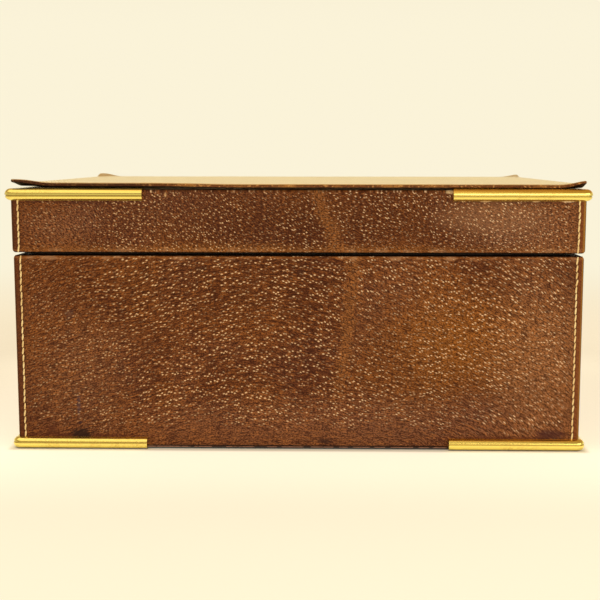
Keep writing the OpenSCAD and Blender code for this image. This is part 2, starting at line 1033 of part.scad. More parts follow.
lid_liner(FRONT);  // lid_liner_front
lid_liner(RIGHT);  // lid_liner_right
lid_liner(BACK);  // lid_liner_back
lid_liner(LEFT);  // lid_liner_left
lid_ceiling();
hinge_leaf(-hinge_x, 1);  // hinge_left_lid_leaf
hinge_leaf(hinge_x, 1);  // hinge_right_lid_leaf
hinge_screws(1);  // hinge_lid_screws
humidifier_case();
humidifier_grille();
humidifier_sponge();
humidifier_screws();
humidifier_shutter();
tray_wall(FRONT);  // tray_front
tray_wall(RIGHT);  // tray_right
tray_wall(BACK);  // tray_back
tray_wall(LEFT);  // tray_left
tray_floor();
tray_divider();
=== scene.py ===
# A cigar humidor, dressed for its picture: pigskin over a wooden case, brass corner
# mouldings, a loose pigskin sheet on the lid, cedar and a humidifier inside.
import math

import bmesh
import bpy
from mathutils import Matrix, Vector, noise


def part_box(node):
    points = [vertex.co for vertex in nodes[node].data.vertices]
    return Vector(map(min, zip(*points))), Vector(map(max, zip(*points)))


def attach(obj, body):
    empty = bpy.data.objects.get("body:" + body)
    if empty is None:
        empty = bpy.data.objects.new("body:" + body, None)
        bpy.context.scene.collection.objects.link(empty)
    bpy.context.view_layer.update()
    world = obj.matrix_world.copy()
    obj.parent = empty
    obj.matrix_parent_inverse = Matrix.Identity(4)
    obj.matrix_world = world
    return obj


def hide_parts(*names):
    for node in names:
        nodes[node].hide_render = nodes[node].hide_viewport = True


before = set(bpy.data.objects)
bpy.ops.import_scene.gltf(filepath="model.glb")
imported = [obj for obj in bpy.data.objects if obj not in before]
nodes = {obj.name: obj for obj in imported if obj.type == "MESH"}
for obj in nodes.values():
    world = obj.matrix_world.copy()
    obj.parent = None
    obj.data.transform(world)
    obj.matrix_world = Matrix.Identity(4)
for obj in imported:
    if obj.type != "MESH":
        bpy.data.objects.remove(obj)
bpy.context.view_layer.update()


# The camera: it stands a little above the lid and to the right, and looks down a few
# degrees. The picture was cut a little off its middle, which the small shift follows.
camera_data = bpy.data.cameras.new("camera")
camera_data.sensor_fit = "HORIZONTAL"
camera_data.sensor_width = 36
camera_data.lens = 67.84
camera_data.shift_x = -0.0278
camera = bpy.data.objects.new("camera", camera_data)
stand = (0.02027, -0.70619, 0.15538)
turned_left, tipped_down, rolled = 0.989, 7.202, 0.064  # degrees
camera.matrix_world = (
    Matrix.Translation(stand)
    @ Matrix.Rotation(math.radians(turned_left), 4, "Z")
    @ Matrix.Rotation(math.radians(90 - tipped_down), 4, "X")
    @ Matrix.Rotation(math.radians(rolled), 4, "Z")
)
bpy.context.scene.collection.objects.link(camera)
bpy.context.scene.camera = camera


# The studio: a wide pale floor that glows into a cream surround, with no line between
# them, a soft lamp to the right of the front and a larger one overhead to the left.
def link_material(name):
    material = bpy.data.materials.new(name)
    material.use_nodes = True
    tree = material.node_tree
    tree.nodes.clear()
    output = tree.nodes.new("ShaderNodeOutputMaterial")
    shader = tree.nodes.new("ShaderNodeBsdfPrincipled")
    tree.links.new(shader.outputs["BSDF"], output.inputs["Surface"])
    return material, tree, shader


def add(tree, kind, feeds, **settings):
    """One node. feeds maps each input socket to a number, a colour or an output socket."""
    made = tree.nodes.new(kind)
    for key, value in settings.items():
        setattr(made, key, value)
    for socket, value in feeds.items():
        if isinstance(value, bpy.types.NodeSocket):
            tree.links.new(value, made.inputs[socket])
        else:
            made.inputs[socket].default_value = value
    return made


def calc(tree, operation, a, b=0.0, c=0.0):
    feeds = {0: a, 1: b, 2: c}
    return add(tree, "ShaderNodeMath", feeds, operation=operation).outputs[0]


def vector_calc(tree, operation, first, second=(0, 0, 0), third=(0, 0, 0), output="Vector"):
    feeds = {0: first, 1: second, 2: third}
    return add(tree, "ShaderNodeVectorMath", feeds, operation=operation).outputs[output]


def fade(tree, value, start, end, low=0.0, high=1.0):
    """Goes smoothly from low to high as value goes from start to end."""
    feeds = {0: value, 1: start, 2: end, 3: low, 4: high}
    made = add(tree, "ShaderNodeMapRange", feeds, interpolation_type="SMOOTHSTEP")
    return made.outputs[0]


def blend_colours(tree, share, first, second):
    feeds = {0: share, 6: first, 7: second}
    return add(tree, "ShaderNodeMix", feeds, data_type="RGBA").outputs[2]


def split(tree, place):
    return add(tree, "ShaderNodeSeparateXYZ", {0: place}).outputs


def texture_noise(tree, place, scale, detail):
    feeds = {"Vector": place, "Scale": scale, "Detail": detail}
    return add(tree, "ShaderNodeTexNoise", feeds).outputs[0]


FLOOR_REACH = 20
FOOTPRINT = (0.152, 0.117, 1)  # half the case's width and depth, where the floor's glow is cut to a painted contact shadow
CREAM = (0.965, 0.895, 0.69, 1)
floor_mesh = bmesh.new()
bmesh.ops.create_grid(floor_mesh, x_segments=8, y_segments=8, size=FLOOR_REACH)
floor_data = bpy.data.meshes.new("floor")
floor_mesh.to_mesh(floor_data)
floor_mesh.free()
floor = bpy.data.objects.new("floor", floor_data)
bpy.context.scene.collection.objects.link(floor)
material, tree, shader = link_material("pale_floor")
place = add(tree, "ShaderNodeTexCoord", {}).outputs["Object"]
clear = vector_calc(tree, "ABSOLUTE", place)
clear = vector_calc(tree, "SUBTRACT", clear, FOOTPRINT)
clear = vector_calc(tree, "MAXIMUM", clear, (0, 0, 0))
away = vector_calc(tree, "LENGTH", clear, output="Value")
far = fade(tree, away, 0.10, 0.9)
grain = texture_noise(tree, place, 1.5, 3.0)
paper = blend_colours(tree, grain, (0.88, 0.85, 0.77, 1), (0.92, 0.90, 0.83, 1))
tree.links.new(blend_colours(tree, far, paper, (0, 0, 0, 1)), shader.inputs["Base Color"])
shader.inputs["Emission Color"].default_value = CREAM
# Painted light: close to the case the floor glows a little more, to make up for the case's
# shade on it, and right beside the case hardly at all, a painted contact shadow. Far off it
# glows as the surround does
near = fade(tree, away, 0.004, 0.12, 0.54, 0.34)
near = calc(tree, "MULTIPLY", near, fade(tree, away, 0.0, 0.005, 0.1, 1.0))
glow = calc(tree, "MULTIPLY_ADD", far, 0.66, near)
tree.links.new(glow, shader.inputs["Emission Strength"])
shader.inputs["Roughness"].default_value = 0.7
shader.inputs["Specular IOR Level"].default_value = 0.0
floor_data.materials.append(material)

surround = bpy.data.worlds.new("surround")
bpy.context.scene.world = surround
surround.use_nodes = True
tree = surround.node_tree
tree.nodes.clear()
heading = add(tree, "ShaderNodeTexCoord", {}).outputs["Generated"]
upwards = fade(tree, split(tree, heading)[2], 0.10, 0.5)
sky = blend_colours(tree, upwards, CREAM, (0.46, 0.34, 0.20, 1))
light = add(tree, "ShaderNodeBackground", {"Color": sky, "Strength": 1.0})
output = tree.nodes.new("ShaderNodeOutputWorld")
tree.links.new(light.outputs[0], output.inputs[0])


WARM_WHITE = (1.0, 0.95, 0.86)
CASE_MIDDLE = Vector((0, 0, 0.07))


def soft_lamp(name, place, size, power):
    data = bpy.data.lights.new(name, "AREA")
    data.shape = "RECTANGLE"
    data.size, data.size_y = size
    data.energy = power
    data.color = WARM_WHITE
    lamp = bpy.data.objects.new(name, data)
    away = Vector(place) - CASE_MIDDLE
    aim = away.to_track_quat("Z", "Y").to_matrix().to_4x4()
    lamp.matrix_world = Matrix.Translation(place) @ aim
    bpy.context.scene.collection.objects.link(lamp)


soft_lamp("key_lamp", place=(0.85, -1.25, 0.62), size=(2.2, 0.7), power=11)
soft_lamp("top_lamp", place=(-0.60, -0.55, 1.35), size=(2.0, 1.2), power=6.5)
bpy.context.scene.view_settings.view_transform = "Standard"


# The boards of the body and the lid: plain poplar, glued at mitred corners. Leather and
# lining hide them all.
def tint(tree, colour, value, start, end, depth, new):
    """Blends new in, by nothing where value is start and by depth where it is end."""
    return blend_colours(tree, fade(tree, value, start, end, 0.0, depth), colour, new)


def bump_up(tree, shader, height, strength, distance):
    feeds = {"Strength": strength, "Distance": distance, "Height": height}
    tree.links.new(add(tree, "ShaderNodeBump", feeds).outputs[0], shader.inputs["Normal"])


def wood(name, dark, light, grain_axis, offset, dye_and_shade_foot=None):
    """Planed wood: straight bands and fine lines along the grain, short dark pores, and a
    slow change of tone from board to board. The last argument, if given, paints the outside
    of a lining dark just above a height: painted shade of the gap between lid and body, with
    edge dye run onto it. It holds the lining's distances from the middle along x and y, and
    that height."""
    material, tree, shader = link_material(name)
    place = add(tree, "ShaderNodeTexCoord", {}).outputs["Object"]

    def drawn_out(along_grain, scale, detail):
        stretch = [1000.0, 1000.0, 1000.0]
        stretch[grain_axis] = along_grain
        feeds = {"Vector": place, "Location": offset, "Scale": stretch}
        moved = add(tree, "ShaderNodeMapping", feeds).outputs[0]
        feeds = {"Vector": moved, "Scale": scale, "Detail": detail, "Roughness": 0.6}
        return add(tree, "ShaderNodeTexNoise", feeds).outputs[0]

    bands = drawn_out(16.0, 0.16, 2.0)
    lines = drawn_out(22.0, 1.1, 3.0)
    pores = drawn_out(150.0, 2.4, 1.0)
    share = calc(tree, "MULTIPLY_ADD", lines, 0.45, calc(tree, "MULTIPLY", bands, 0.55))
    colour = blend_colours(tree, fade(tree, share, 0.38, 0.62), dark, light)
    tone = texture_noise(tree, place, 9.0, 1.0)
    colour = tint(tree, colour, tone, 0.35, 0.7, 0.4, light)
    darker = tuple(part * 0.45 for part in dark[:3]) + (1,)
    pore = fade(tree, pores, 0.58, 0.72)
    colour = blend_colours(tree, calc(tree, "MULTIPLY", pore, 0.7), colour, darker)
    # Painted shade: dark just above the body's rim, where the gap between lid and body shades the
    # lip, with some edge dye
    if dye_and_shade_foot is not None:
        side_x, side_y, foot_z = dye_and_shade_foot
        x, y, z = split(tree, place)
        past_x = calc(tree, "SUBTRACT", calc(tree, "ABSOLUTE", x), side_x)
        past_y = calc(tree, "SUBTRACT", calc(tree, "ABSOLUTE", y), side_y)
        outside = fade(tree, calc(tree, "MAXIMUM", past_x, past_y), -0.0005, -0.0001)
        low = fade(tree, z, foot_z + 0.0018, foot_z + 0.0009, 0.0, 0.95)
        dye_and_gap_shade = calc(tree, "MULTIPLY", outside, low)
        colour = blend_colours(tree, dye_and_gap_shade, colour, (0.008, 0.004, 0.003, 1))
    tree.links.new(colour, shader.inputs["Base Color"])
    tree.links.new(fade(tree, lines, 0.3, 0.7, 0.64, 0.48), shader.inputs["Roughness"])
    bump_up(tree, shader, calc(tree, "MULTIPLY_ADD", pore, -1.0, lines), 0.3, 0.0002)
    return material


def dress(node_name, material):
    for slot in nodes[node_name].material_slots:
        slot.material = material


ALONG_X, ALONG_Y = 0, 1  # the grain's axis
poplar_dark, poplar_light = (0.33, 0.20, 0.10, 1), (0.52, 0.37, 0.22, 1)
poplar_across = wood("poplar_across", poplar_dark, poplar_light, ALONG_X, (3, 1, 7))
poplar_along = wood("poplar_along", poplar_dark, poplar_light, ALONG_Y, (5, 2, 4))
for part in ("body", "lid"):
    for side in ("front", "back"):
        dress(f"{part}_{side}_board", poplar_across)
    for side in ("left", "right"):
        dress(f"{part}_{side}_board", poplar_along)
dress("body_bottom_board", poplar_across)
dress("lid_top_board", poplar_across)


# The pigskin on the sides: one piece to a side, glued on, mitred at the corners and
# turned in over each rim. Pale hair pores stand in threes, in rows that sweep across.
STITCH_INSET = 0.0033  # from each corner to its stitches
PORE_ROW = 3.3  # mm from one row of threes to the next
PORE_STEP = 4.5  # mm from one three to the next in its row
PORE_TRIO = ((-0.29, -0.01, 0), (0.03, -0.15, 0), (0.27, 0.17, 0))  # in steps and rows
PORE_SPOT = (0.42, 0.13)  # mm above or below a pore where it ends, and where it is palest
PORE_HALO = (0.85, 0.30)  # the same for the faint glow round it
PORE_SQUASH = 0.55  # its height over its length
PORE_STRAY = (0.26, 0.20)  # how widely it is scattered about its place, in steps and rows
LEFT_END = (-0.125, -0.085)  # the pores grow plainer between these two places


def paint(red, green, blue):
    """A colour from the 0 to 255 values that it has on a screen."""
    parts = []
    for part in (red, green, blue):
        part = part / 255
        parts.append(part / 12.92 if part <= 0.04045 else ((part + 0.055) / 1.055) ** 2.4)
    return (*parts, 1.0)


def noise_at(tree, place, scale, detail=2.0, rough=0.5, output=0):
    """Noise over a flat side, which has only two directions."""
    feeds = {"Vector": place, "Scale": scale, "Detail": detail, "Roughness": rough}
    return add(tree, "ShaderNodeTexNoise", feeds, noise_dimensions="2D").outputs[output]


def drift(tree, place, scale, reach):
    """Moves a pattern about by up to a few tenths of reach, smoothly."""
    away = noise_at(tree, place, scale, 1.0, 0.5, "Color")
    away = vector_calc(tree, "SUBTRACT", away, (0.5, 0.5, 0.5))
    return vector_calc(tree, "MULTIPLY_ADD", away, (reach, reach, 0), place)


def bend_rows(tree, mm, u, lean, bend):
    """The place on the hide in mm, moved so that level rows fall, bend and sway."""
    u_mm = calc(tree, "MULTIPLY", u, 1000.0)
    fall = calc(tree, "MULTIPLY", u_mm, calc(tree, "MULTIPLY_ADD", u_mm, bend / 2, lean))
    lifted = add(tree, "ShaderNodeCombineXYZ", {1: fall}).outputs[0]
    swayed = drift(tree, drift(tree, mm, 0.012, 15), 0.08, 2.0)
    return vector_calc(tree, "ADD", swayed, lifted)


def pores_in_threes(tree, rows, fine, stray):
    """The pale pores and the wider glow round each, both 1 at the pore and 0 away from it."""
    lattice = vector_calc(tree, "DIVIDE", rows, (PORE_STEP * fine, PORE_ROW * fine, 1))
    feeds = {"Vector": lattice, "Scale": 1.0, "Randomness": 0.5}
    cells = add(tree, "ShaderNodeTexVoronoi", feeds, voronoi_dimensions="2D")
    from_middle = vector_calc(tree, "SUBTRACT", lattice, cells.outputs["Position"])
    chance = add(tree, "ShaderNodeSeparateColor", {0: cells.outputs["Color"]}).outputs
    pores = halos = 0.0
    for number, pore in enumerate(PORE_TRIO):
        feeds = {0: chance[number], 1: chance[number - 1]}
        own = add(tree, "ShaderNodeCombineXYZ", feeds).outputs[0]
        own = vector_calc(tree, "SUBTRACT", own, (0.5, 0.5, 0))
        strays = (PORE_STRAY[0] * stray, PORE_STRAY[1] * stray, 0)
        own = vector_calc(tree, "MULTIPLY", own, strays)
        reach = vector_calc(tree, "SUBTRACT", from_middle, pore)
        reach = vector_calc(tree, "SUBTRACT", reach, own)
        in_mm = (PORE_STEP * PORE_SQUASH, PORE_ROW, 0)
        reach = vector_calc(tree, "MULTIPLY", reach, in_mm)
        length = vector_calc(tree, "LENGTH", reach, output="Value")
        power = fade(tree, chance[number - 2], 0.15, 0.85, 0.16, 1.0)
        spot = calc(tree, "MULTIPLY", fade(tree, length, *PORE_SPOT), power)
        halo = calc(tree, "MULTIPLY", fade(tree, length, *PORE_HALO), power)
        pores = calc(tree, "MAXIMUM", pores, spot)
        halos = calc(tree, "MAXIMUM", halos, halo)
    return pores, halos


def smooth_streak(tree, u, z, mm, scar):
    """1 on a streak where the hide is smooth, with ragged edges, and 0 beside it. scar says
    where the streak lies at height 0, how it slopes, half its width and its lower end."""
    low_u, slope, half_width, low_end = scar
    off = calc(tree, "SUBTRACT", u, calc(tree, "MULTIPLY_ADD", z, slope, low_u))
    off = calc(tree, "DIVIDE", calc(tree, "ABSOLUTE", off), half_width)
    off = calc(tree, "MULTIPLY_ADD", noise_at(tree, mm, 0.16, 3.0, 0.7), 2.4, off)
    above_end = fade(tree, z, low_end, low_end + 0.03)
    return calc(tree, "MULTIPLY", fade(tree, off, 2.7, 1.5), above_end)


def mark_hide(tree, colour, flat, mark, ragged, amount, outer, inner):
    """An oval patch. mark holds its place, size, strength and colour. ragged moves its edge
    by amount, and the patch grows from outer to inner times its size."""
    mark_u, mark_v, wide, high, depth, dye = mark
    off = vector_calc(tree, "SUBTRACT", flat, (mark_u, mark_v, 0))
    off = vector_calc(tree, "DIVIDE", off, (wide, high, 1))
    off = vector_calc(tree, "LENGTH", off, output="Value")
    off = calc(tree, "MULTIPLY_ADD", ragged, amount, off)
    return tint(tree, colour, off, outer, inner, depth, paint(*dye))


def press_seam(tree, u, seam, colour, height):
    """Beside its stitches the hide is pressed flat and a little redder, and the thread lies in
    a channel. Light is painted in there too: the pressed strip lighter towards the right, a
    painted highlight on the right corner, painted shade on the left one, and painted shade
    in the channel. Distances count outwards from the stitches. Gives back how much is left
    of the pores, the colour and the height."""
    from_seam = calc(tree, "SUBTRACT", calc(tree, "ABSOLUTE", u), seam - STITCH_INSET)
    pressed = fade(tree, from_seam, -0.0008, 0.0006)
    left = fade(tree, from_seam, -0.007, -0.0015, 1.0, 0.12)
    left = calc(tree, "MULTIPLY", left, calc(tree, "SUBTRACT", 1.0, pressed))
    # Painted light: the pressed strip is lighter towards the right, as if lit from there
    rightwards = fade(tree, u, -0.1, 0.1)
    redder = blend_colours(tree, rightwards, paint(84, 42, 20), paint(114, 58, 24))
    colour = blend_colours(tree, calc(tree, "MULTIPLY", pressed, 0.62), colour, redder)
    # Painted highlight on the right corner's rounded edge, and painted shade on the left one
    corner = blend_colours(tree, rightwards, paint(58, 28, 10), paint(158, 114, 44))
    start, end = STITCH_INSET - 0.0011, STITCH_INSET - 0.0002
    colour = tint(tree, colour, from_seam, start, end, 0.7, corner)
    # Painted shade in the thread's channel
    channel = fade(tree, calc(tree, "ABSOLUTE", from_seam), 0.0011, 0.0005)
    shaded = calc(tree, "MULTIPLY", channel, 0.45)
    colour = blend_colours(tree, shaded, colour, paint(70, 36, 14))
    return left, colour, calc(tree, "MULTIPLY_ADD", channel, -1.0, height)


def turn_in_rim(tree, v, rim, mm, creases, colour):
    """Pale beside the rim, with wear and a painted highlight along its rounded edge, and dark
    where the hide turns in over it, with edge dye and painted shade of the gap between lid
    and body, which thins out further in. rim holds where the hide turns in, which way, how
    far before that the painted shade begins, and how strong the pale wear and highlight are."""
    edge_v, turn, early, rubbed_and_lit = rim
    beyond = calc(tree, "MULTIPLY", calc(tree, "SUBTRACT", v, edge_v), turn)
    # A pale line just short of the rim: wear, and a painted highlight where its rounded edge
    # catches the light
    lit_worn_line = -0.0010 - early
    off = calc(tree, "ABSOLUTE", calc(tree, "SUBTRACT", beyond, lit_worn_line))
    patchy = noise_at(tree, mm, 0.11, 3.0, 0.6)
    off = calc(tree, "MULTIPLY_ADD", patchy, -0.0040, off)
    off = calc(tree, "MULTIPLY_ADD", creases, -0.0016, off)
    pale = fade(tree, patchy, 0.5, 0.66)
    worn = blend_colours(tree, pale, paint(178, 112, 54), paint(206, 156, 112))
    colour = tint(tree, colour, off, -0.0012, -0.0030, rubbed_and_lit, worn)
    # Painted shade of the gap between lid and body, with edge dye, where the hide turns in
    dye_and_gap_shade = fade(tree, beyond, -early, 0.0006 - early, 0.0, 0.96)
    thinned = fade(tree, beyond, 0.0020, 0.0055)
    dye = blend_colours(tree, thinned, paint(16, 7, 4), paint(46, 23, 12))
    dye_and_gap_shade = calc(tree, "MULTIPLY_ADD", thinned, -0.12, dye_and_gap_shade)
    return blend_colours(tree, dye_and_gap_shade, colour, dye)


def pigskin(
    name,
    along,
    across,
    shift,
    lean,
    bend,
    stray=1.0,
    drawn=0.17,
    fine=1.0,
    show=(1, 1),
    seam=None,
    rim=None,
    foot=None,
    tones=(),
    stains=(),
    scar=None,
    bleached=0.0,
):
    """The hide's look on a flat side. along and across are its two directions, as weights of
    x, y and z, and shift in mm is the part of the hide that it was cut from. The rows of
    pores fall by lean at the middle, and by bend more for every mm to the right. stray times
    PORE_STRAY is how widely the pores are scattered, drawn is the width of a crease over its
    length, and fine is how large pores and creases are, compared with the body's. show is
    how plain the pores are at the left end and on the rest. seam is how far each stitched
    edge lies from the middle.
    foot is the height below which the hide is pressed smooth, and that of its lower edge.
    tones are large marks under the grain, and stains small ones over it, some of them
    painted shade and painted highlights. bleached is how far the hide has gone to a golden
    tan. For rim and scar see turn_in_rim and smooth_streak."""
    material, tree, shader = link_material(name)
    place = add(tree, "ShaderNodeTexCoord", {}).outputs["Object"]
    u = vector_calc(tree, "DOT_PRODUCT", place, along, output="Value")
    v = vector_calc(tree, "DOT_PRODUCT", place, across, output="Value")
    z = split(tree, place)[2]
    flat = add(tree, "ShaderNodeCombineXYZ", {0: u, 1: v}).outputs[0]
    feeds = {"Vector": flat, "Location": (*shift, 0), "Scale": (1000, 1000, 1000)}
    mm = add(tree, "ShaderNodeMapping", feeds).outputs[0]
    rows = bend_rows(tree, mm, u, lean, bend)
    pores, halos = pores_in_threes(tree, rows, fine, stray)

    # Some of the hide has strong pores and some hardly any
    strength = fade(tree, noise_at(tree, mm, 0.03), 0.32, 0.56, 0.45, 1.0)
    strength = calc(tree, "MULTIPLY", strength, fade(tree, u, *LEFT_END, *show))
    if foot is not None:
        smooth_below, lower_edge = foot
        sway = calc(tree, "MULTIPLY_ADD", noise_at(tree, mm, 0.05), 0.012, smooth_below - 0.006)
        above = fade(tree, calc(tree, "SUBTRACT", z, sway), -0.002, 0.005, 0.06, 1.0)
        strength = calc(tree, "MULTIPLY", strength, above)
    if scar is not None:
        streak = smooth_streak(tree, u, z, mm, scar)
        lost = calc(tree, "MULTIPLY", streak, strength)
        strength = calc(tree, "MULTIPLY_ADD", lost, -0.85, strength)

    # Fine creases that follow the rows, sharper folds, and the grain between them
    creased = vector_calc(tree, "MULTIPLY", rows, (drawn, 1.0, 1))
    creases = noise_at(tree, creased, 1.15 / fine, 2.0, 0.62)
    folded = vector_calc(tree, "MULTIPLY", rows, (drawn + 0.11, 1.0, 1))
    folds = calc(tree, "SUBTRACT", noise_at(tree, folded, 1.5, 1.0), 0.5)
    folds = calc(tree, "ABSOLUTE", folds)
    grained = vector_calc(tree, "MULTIPLY", rows, (0.55, 1.0, 1))
    grain = noise_at(tree, grained, 1.7, 1.0)
    height = calc(tree, "MULTIPLY_ADD", grain, 0.35, calc(tree, "MULTIPLY", creases, 0.9))
    height = calc(tree, "MULTIPLY_ADD", fade(tree, folds, 0.0, 0.06), 0.3, height)

    # Uneven dye, dark, orange and purplish brown, darker in the creases, folds and grain, and paler
    # on the creases' ridges
    cloud = noise_at(tree, mm, 0.017, 3.0, 0.5, "Color")
    clouds = add(tree, "ShaderNodeSeparateColor", {0: cloud}).outputs
    orange = fade(tree, clouds[0], 0.36, 0.64)
    colour = blend_colours(tree, orange, paint(100, 52, 22), paint(132, 76, 32))
    colour = tint(tree, colour, clouds[1], 0.5, 0.75, 0.7, paint(118, 72, 48))
    for mark in tones:
        colour = mark_hide(tree, colour, flat, mark, clouds[2], 0.9, 2.0, 0.5)
    if scar is not None:
        bare = calc(tree, "MULTIPLY", streak, 0.7)
        colour = blend_colours(tree, bare, colour, paint(158, 100, 50))
    colour = tint(tree, colour, creases, 0.52, 0.33, 0.62, paint(50, 16, 2))
    colour = tint(tree, colour, creases, 0.50, 0.70, 0.55, paint(166, 102, 48))
    colour = tint(tree, colour, folds, 0.055, 0.0, 0.8, paint(42, 13, 2))
    colour = tint(tree, colour, grain, 0.56, 0.34, 0.78, paint(50, 17, 2))
    # Small marks over the grain: stains and scuffs, painted shade and painted highlights
    for mark in stains:
        colour = mark_hide(tree, colour, flat, mark, creases, 1.2, 1.8, 1.1)
    if foot is not None:
        start, end = lower_edge + 0.0010, lower_edge + 0.0005
        colour = tint(tree, colour, z, start, end, 0.9, paint(20, 9, 6))
    if seam is not None:
        left, colour, height = press_seam(tree, u, seam, colour, height)
        strength = calc(tree, "MULTIPLY", strength, left)

    # The pores, pale and partly painted glints, each in a faint paler ring, and more golden on the
    # left
    pores = calc(tree, "MULTIPLY", pores, strength)
    glow = calc(tree, "MULTIPLY", calc(tree, "MULTIPLY", halos, strength), 0.20)
    colour = blend_colours(tree, glow, colour, paint(168, 106, 52))
    paler = fade(tree, u, -0.12, 0.09)
    spot = blend_colours(tree, paler, paint(236, 198, 152), paint(240, 208, 168))
    colour = blend_colours(tree, pores, colour, spot)
    if rim is not None:
        colour = turn_in_rim(tree, v, rim, mm, creases, colour)
    if bleached:
        share = fade(tree, clouds[1], 0.3, 0.7, bleached - 0.08, bleached + 0.08)
        colour = blend_colours(tree, share, colour, paint(220, 176, 98))
    tree.links.new(colour, shader.inputs["Base Color"])
    bump_up(tree, shader, calc(tree, "MULTIPLY_ADD", pores, 0.5, height), 0.7, 0.0003)
    tree.links.new(fade(tree, creases, 0.3, 0.7, 0.58, 0.40), shader.inputs["Roughness"])
    shader.inputs["Specular IOR Level"].default_value = 0.09
    return material


body_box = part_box("body_leather_front")
lid_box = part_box("lid_leather_front")
half_w = -body_box[0][0]
half_d = -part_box("body_leather_left")[0][1]

# The front's marks, each with its place along the front, its height, its size both ways,
# its strength and its colour. Tones lie under the grain, and stains, scuffs, painted shade
# and painted highlights on it.
FRONT_TONES = (
    # The body: dark in the middle and at the top on the left, golden right of the middle,
    # and pale at both ends and the foot
    (0.062, 0.052, 0.030, 0.036, 0.40, (168, 106, 44)),
    (0.002, 0.046, 0.026, 0.020, 0.35, (96, 52, 34)),
    (0.092, 0.060, 0.034, 0.026, 0.55, (176, 108, 36)),
    (0.130, 0.048, 0.026, 0.050, 0.62, (178, 122, 78)),
    (0.030, 0.012, 0.130, 0.016, 0.55, (148, 98, 70)),
    (-0.118, 0.038, 0.034, 0.034, 0.50, (144, 96, 66)),
    (-0.060, 0.086, 0.066, 0.020, 0.55, (80, 37, 12)),
    # The lid: dark in the middle, greyer at both ends and golden along its rim
    (0.000, 0.122, 0.080, 0.020, 0.75, (74, 34, 12)),
    (0.118, 0.122, 0.036, 0.016, 0.55, (158, 112, 82)),
    (-0.125, 0.120, 0.022, 0.012, 0.50, (146, 100, 74)),
    (-0.020, 0.1075, 0.140, 0.0034, 0.55, (168, 108, 50)),
    # Dark beside the streak, on the body and on the lid
    (0.006, 0.070, 0.014, 0.046, 0.40, (76, 32, 8)),
    (0.004, 0.122, 0.012, 0.018, 0.40, (70, 30, 10)),
)
FRONT_STAINS_AND_PAINTED_LIGHT = (
    # Painted shade along the mouldings, on the hide just above the base's and just below the lid's
    (-0.1120, 0.0064, 0.0360, 0.0014, 0.65, (80, 36, 20)),
    (0.1100, 0.0060, 0.0360, 0.0012, 0.65, (80, 36, 20)),
    (-0.1120, 0.1330, 0.0380, 0.0016, 0.50, (72, 36, 24)),
    (0.1120, 0.1330, 0.0380, 0.0014, 0.50, (72, 36, 24)),
    # A dark spill over the left moulding, and smaller ones beside it
    (-0.1163, 0.0076, 0.0060, 0.0034, 0.95, (44, 24, 18)),
    (-0.1165, 0.0135, 0.0012, 0.0010, 0.80, (56, 34, 34)),
    (-0.1310, 0.0100, 0.0045, 0.0032, 0.50, (80, 38, 20)),
    # A ring mark on the left, and a drip far below it
    (-0.1210, 0.0722, 0.0028, 0.0026, 0.70, (66, 40, 34)),
    (-0.1210, 0.0722, 0.0013, 0.0012, 0.60, (112, 70, 44)),
    (-0.1190, 0.0310, 0.0022, 0.0022, 0.35, (84, 52, 36)),
    (-0.1172, 0.0230, 0.0011, 0.0064, 0.60, (80, 60, 62)),
    # A dark corner on the right, and small spots
    (0.1340, 0.0080, 0.0090, 0.0036, 0.80, (66, 30, 26)),
    (-0.0510, 0.0960, 0.0030, 0.0026, 0.60, (56, 28, 14)),
    (0.0016, 0.0950, 0.0020, 0.0018, 0.50, (62, 34, 20)),
    (0.0145, 0.0040, 0.0040, 0.0018, 0.80, (48, 24, 18)),
    # A pale scuff on the lid, beside its left moulding
    (-0.0690, 0.1366, 0.0007, 0.0012, 0.60, (206, 164, 112)),
    # Painted highlights beside and under the right moulding, and a faint painted glint on the lid
    # below them
    (0.0797, 0.1382, 0.0030, 0.0010, 0.65, (214, 186, 140)),
    (0.1405, 0.1334, 0.0036, 0.0005, 0.75, (220, 190, 160)),
    (0.1240, 0.1334, 0.0022, 0.0005, 0.65, (206, 170, 130)),
    (0.0980, 0.1334, 0.0030, 0.0005, 0.65, (206, 170, 130)),
    (0.1000, 0.1250, 0.0300, 0.0090, 0.12, (190, 140, 100)),
)
FRONT_SCARS = {"body": (0.0187, 0.114, 0.0034, 0.018), "lid": (0.0664, -0.413, 0.0042, 0.0)}

SMOOTH_BELOW = 0.012  # the height of the body's pressed foot
LID_GRAIN = {"stray": 2.6, "drawn": 0.45, "fine": 0.78}  # finer and less even
FRONT_SHOW, OTHER_SHOW = (0.45, 0.88), (0.5, 0.72)  # how plain the pores are
RIM_SHADE_AND_SHINE = {"body": (0.0002, 0.35), "lid": (0.0008, 0.2)}  # where the painted shade of the gap begins, and how strong the pale wear and painted highlight are, in turn_in_rim
